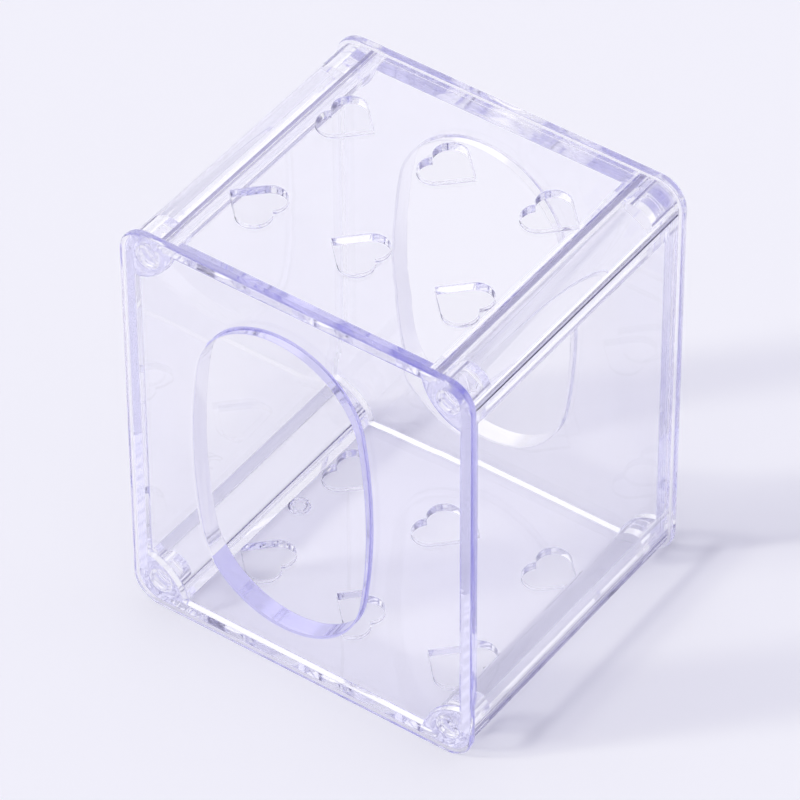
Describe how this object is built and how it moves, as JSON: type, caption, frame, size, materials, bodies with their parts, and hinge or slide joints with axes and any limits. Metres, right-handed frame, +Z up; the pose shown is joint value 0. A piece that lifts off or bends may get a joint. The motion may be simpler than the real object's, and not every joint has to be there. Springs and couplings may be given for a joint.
{
  "type": "queen cage",
  "caption": "Small clear plastic box cage for a queen bee, with grooved corner posts, heart-vented panels and pull-off end plates with a tall window.",
  "frame": {"origin": "middle of the underside, on the surface that the cage stands on", "axes": "+Z up, +Y from the front end plate to the back end plate, +X to the right when looking at the front plate"},
  "size_m": [0.04, 0.035, 0.048],
  "materials": {
    "plate_plastic": "clear, glossy, faint lavender tint",
    "panel_plastic": "clear, glossy, faint lavender tint",
    "post_plastic": "clear, glossy, faint lavender tint"
  },
  "bodies": {
    "cage": {"corner_post_top_left": "post_plastic", "corner_post_top_right": "post_plastic", "corner_post_bottom_left": "post_plastic", "corner_post_bottom_right": "post_plastic", "top_panel": "panel_plastic", "bottom_panel": "panel_plastic", "left_panel": "panel_plastic", "right_panel": "panel_plastic"},
    "front_plate": {"front_plate": "plate_plastic"},
    "back_plate": {"back_plate": "plate_plastic"}
  },
  "joints": [
    {"name": "front_plate_pull", "type": "slide", "parent": "cage", "child": "front_plate", "axis": [0, -1, 0], "range_m": [0, 0.02]},
    {"name": "back_plate_pull", "type": "slide", "parent": "cage", "child": "back_plate", "axis": [0, 1, 0], "range_m": [0, 0.02]}
  ]
}
